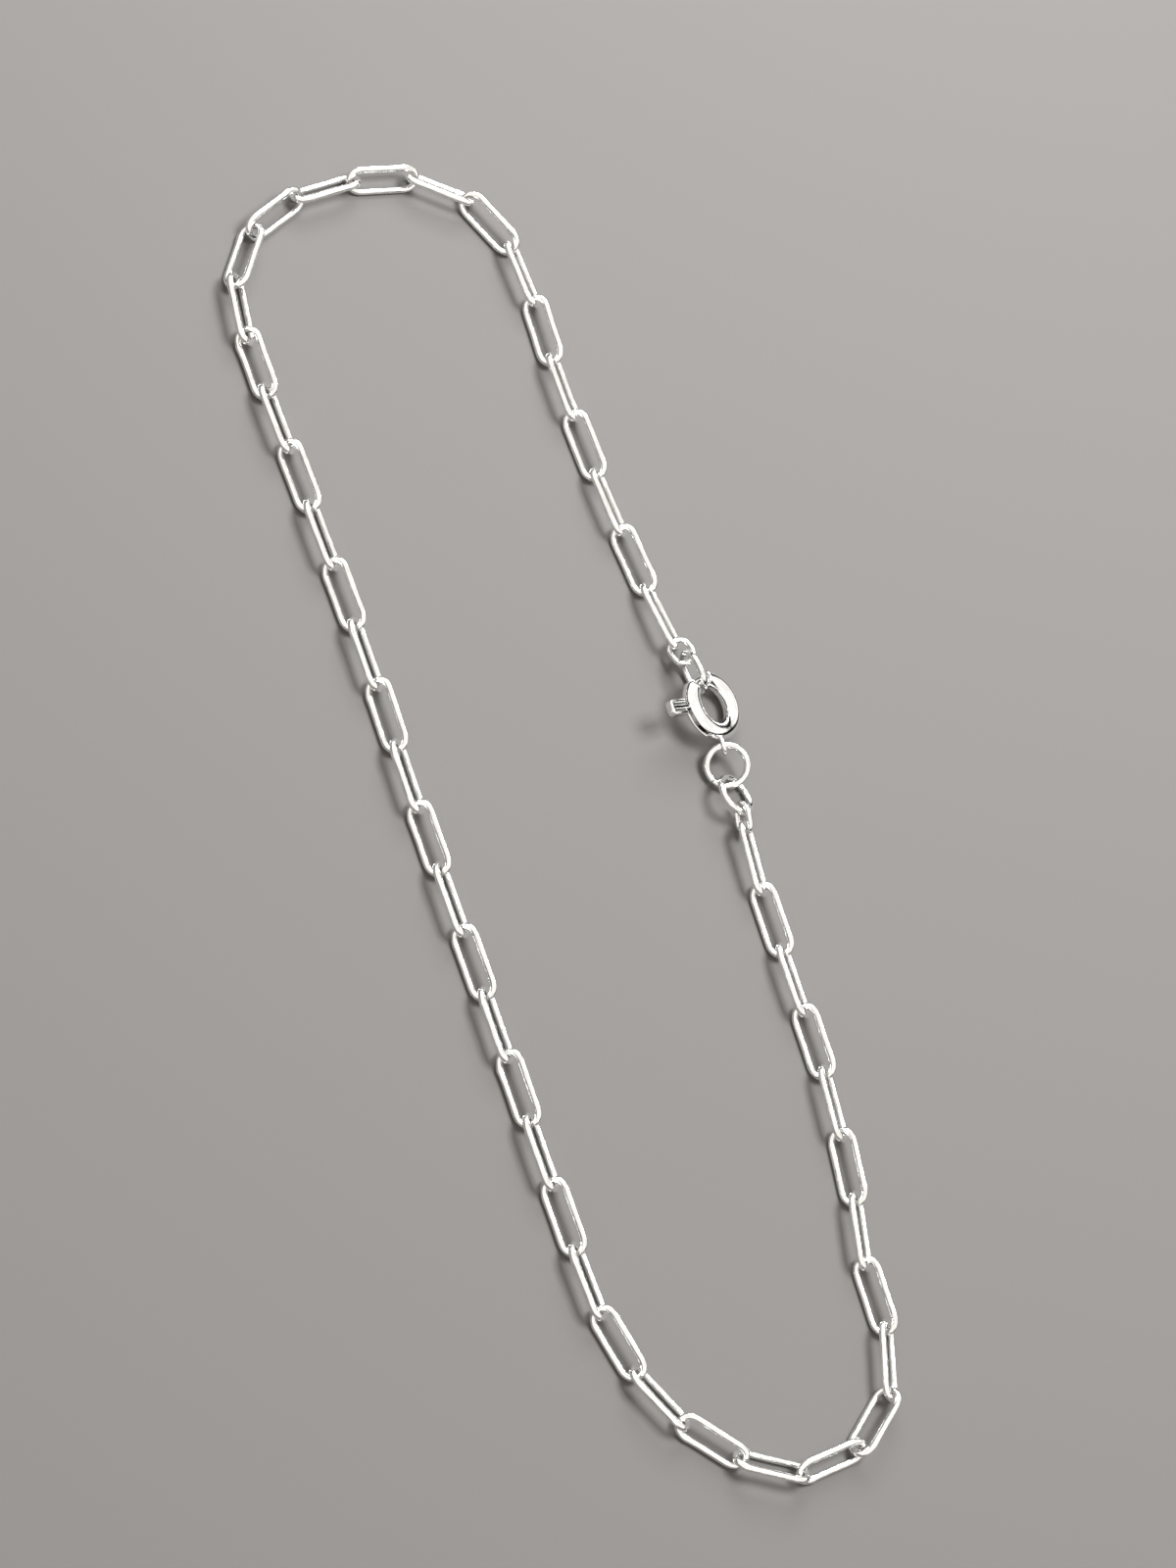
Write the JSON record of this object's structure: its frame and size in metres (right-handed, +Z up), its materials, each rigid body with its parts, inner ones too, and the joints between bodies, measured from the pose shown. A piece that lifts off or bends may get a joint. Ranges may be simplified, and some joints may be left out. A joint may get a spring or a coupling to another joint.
{
  "type": "chain bracelet",
  "caption": "Bracelet of long oval cable links lying in a closed loop, fastened by a bolt ring clasp whose spring trigger slides open.",
  "frame": {"origin": "middle of the lying loop's bounding box, on the plane it rests on", "axes": "+Z up; +Y along the loop's long axis; +X towards the side of the loop with the clasp"},
  "size_m": [0.0256, 0.0926, 0.0034],
  "materials": {
    "links": "polished sterling silver, drawn wire",
    "rings": "polished sterling silver, round wire",
    "clasp": "mirror polished sterling silver tube",
    "trigger": "polished sterling silver, slightly duller"
  },
  "bodies": {
    "bracelet": {"link_01": "links", "link_02": "links", "link_03": "links", "link_04": "links", "link_05": "links", "link_06": "links", "link_07": "links", "link_08": "links", "link_09": "links", "link_10": "links", "link_11": "links", "link_12": "links", "link_13": "links", "link_14": "links", "link_15": "links", "link_16": "links", "link_17": "links", "link_18": "links", "link_19": "links", "link_20": "links", "link_21": "links", "link_22": "links", "link_23": "links", "link_24": "links", "link_25": "links", "link_26": "links", "link_27": "links", "link_28": "links", "link_29": "links", "link_30": "links", "link_31": "links", "link_32": "links", "link_33": "links", "link_34": "links", "link_35": "links", "link_36": "links", "link_37": "links", "link_38": "links", "link_39": "links", "link_40": "links", "link_41": "links", "link_42": "links", "link_43": "links", "link_44": "links", "link_45": "links", "end_ring_clasp_side": "rings", "joining_ring": "rings", "eye_ring": "rings", "catch_ring": "rings", "end_ring_hook_side": "rings", "bolt_ring_body": "clasp"},
    "trigger": {"trigger_bolt": "trigger"}
  },
  "joints": [
    {"name": "trigger_slide", "type": "hinge", "parent": "bracelet", "child": "trigger", "pos_m": [0.01043, 0.00367, 0.0014], "axis": [0.4072, -0.0248, 0.913], "range_deg": [0, 50], "stiffness_Nm_per_rad": 0.002, "springref_deg": -34.38}
  ]
}
